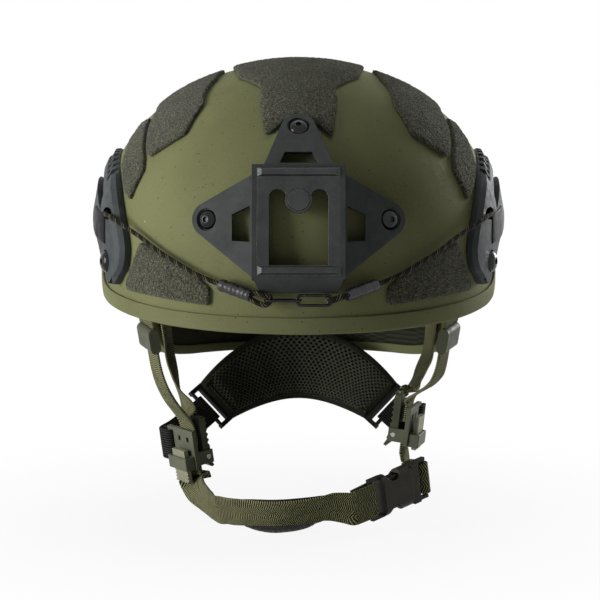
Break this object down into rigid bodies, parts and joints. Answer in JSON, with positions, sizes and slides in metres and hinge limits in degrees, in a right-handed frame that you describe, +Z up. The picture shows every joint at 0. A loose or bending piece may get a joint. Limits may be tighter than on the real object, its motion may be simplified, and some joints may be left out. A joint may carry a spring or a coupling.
{
  "type": "combat helmet",
  "caption": "High-cut protective helmet with front shroud plate, side rails, loop patches, bungee lanyards, padded liner and a harness with chin cup and side-release buckle.",
  "frame": {"origin": "middle of the head, level with the brow rim; the head mount", "axes": "+X to the wearer's left (the picture's right), +Y from brow to back, +Z up"},
  "size_m": [0.2456, 0.2978, 0.2774],
  "materials": {
    "shell_paint": "matte",
    "trim_rubber": "matte",
    "loop_fabric": "looped",
    "pad_fabric": "brushed",
    "hook_fabric": "hooked",
    "dark_polymer": "matte",
    "dark_metal": "anodised satin",
    "bare_metal": "brushed",
    "black_steel": "black oxide",
    "rail_polymer": "fine grain",
    "bungee": "braided",
    "sleeve_rubber": "satin",
    "olive_webbing": "ribbed",
    "black_webbing": "ribbed",
    "olive_plastic": "satin",
    "lever_plastic": "satin",
    "pale_plastic": "satin",
    "black_mesh": "spacer mesh",
    "black_plastic": "satin",
    "black_leather": "grained",
    "buckle_plastic": "satin"
  },
  "bodies": {
    "helmet": {"shell": "shell_paint", "edge_trim": "trim_rubber", "crown_patch": "loop_fabric", "upper_patches": "loop_fabric", "side_patches": "loop_fabric", "brow_patches": "loop_fabric", "rear_patch": "loop_fabric", "rear_side_patches": "loop_fabric", "crown_pad": "pad_fabric", "front_pad": "pad_fabric", "rear_pad": "pad_fabric", "front_side_pads": "pad_fabric", "rear_side_pads": "pad_fabric", "hook_discs": "hook_fabric", "shroud_frame": "dark_polymer", "shroud_insert": "dark_metal", "insert_plug": "bare_metal", "shroud_screws": "black_steel", "shroud_nuts": "bare_metal", "rail_left": "rail_polymer", "rail_right": "rail_polymer", "rail_screws": "black_steel", "rail_nuts": "bare_metal", "anchor_tabs": "black_steel", "cord_left": "bungee", "cord_right": "bungee", "cord_sleeves": "sleeve_rubber", "cord_eyes": "bungee", "hook_left": "black_steel", "hook_right": "black_steel", "front_strap_left": "olive_webbing", "front_strap_right": "olive_webbing", "rear_strap_left": "olive_webbing", "rear_strap_right": "olive_webbing", "nape_strap_left": "black_webbing", "nape_strap_right": "black_webbing", "adjuster_left": "olive_plastic", "adjuster_right": "olive_plastic", "lever_pins": "bare_metal", "tail_keepers": "olive_plastic", "tail_tabs": "pale_plastic", "nape_pad": "black_mesh", "nape_plates": "black_plastic", "nape_hanger": "black_webbing", "chin_side_strap": "olive_webbing", "buckle_male": "buckle_plastic", "buckle_strap": "olive_webbing"},
    "chin": {"chin_strap": "olive_webbing", "chin_cup": "black_leather", "buckle_female": "buckle_plastic"},
    "prong_upper": {"buckle_prong_upper": "buckle_plastic"},
    "prong_lower": {"buckle_prong_lower": "buckle_plastic"},
    "lever_left": {"cam_lever_left": "lever_plastic"},
    "lever_right": {"cam_lever_right": "lever_plastic"},
    "slide_left": {"strap_slide_left": "olive_plastic"},
    "slide_right": {"strap_slide_right": "olive_plastic"},
    "hook_gate_left": {"gate_left": "black_steel"},
    "hook_gate_right": {"gate_right": "black_steel"}
  },
  "joints": [
    {"name": "buckle_release", "type": "slide", "parent": "helmet", "child": "chin", "axis": [-0.7181, -0.6761, -0.165], "range_m": [0, 0.026]},
    {"name": "prong_upper_squeeze", "type": "hinge", "parent": "helmet", "child": "prong_upper", "pos_m": [0.06404, -0.04381, -0.09269], "axis": [0.6855, -0.7281, 0], "range_deg": [0, 6], "stiffness_Nm_per_rad": 0.02},
    {"name": "prong_lower_squeeze", "type": "hinge", "parent": "helmet", "child": "prong_lower", "pos_m": [0.06556, -0.04239, -0.10511], "axis": [-0.6855, 0.7281, 0], "range_deg": [0, 6], "stiffness_Nm_per_rad": 0.02},
    {"name": "lever_left_open", "type": "hinge", "parent": "helmet", "child": "lever_left", "pos_m": [0.05979, -0.01596, -0.07215], "axis": [-0.2721, -0.9623, 0], "range_deg": [0, 40]},
    {"name": "lever_right_open", "type": "hinge", "parent": "helmet", "child": "lever_right", "pos_m": [-0.0605, -0.01382, -0.08585], "axis": [-0.5408, 0.8412, 0], "range_deg": [0, 40]},
    {"name": "slide_left_run", "type": "slide", "parent": "helmet", "child": "slide_left", "axis": [-0.1368, 0.1991, -0.9704], "range_m": [-0.006, 0.006]},
    {"name": "slide_right_run", "type": "slide", "parent": "helmet", "child": "slide_right", "axis": [0.1368, 0.1991, -0.9704], "range_m": [-0.006, 0.006]},
    {"name": "gate_left_press", "type": "hinge", "parent": "helmet", "child": "hook_gate_left", "pos_m": [0.01295, -0.1472, 0.0214], "axis": [0, -1, 0], "range_deg": [0, 18], "stiffness_Nm_per_rad": 0.004},
    {"name": "gate_right_press", "type": "hinge", "parent": "helmet", "child": "hook_gate_right", "pos_m": [-0.01295, -0.1446, 0.0188], "axis": [0, 0, -1], "range_deg": [0, 18], "stiffness_Nm_per_rad": 0.004}
  ],
  "couplings": [
    {"joint": "prong_lower_squeeze", "follows": "prong_upper_squeeze", "ratio": 1}
  ]
}
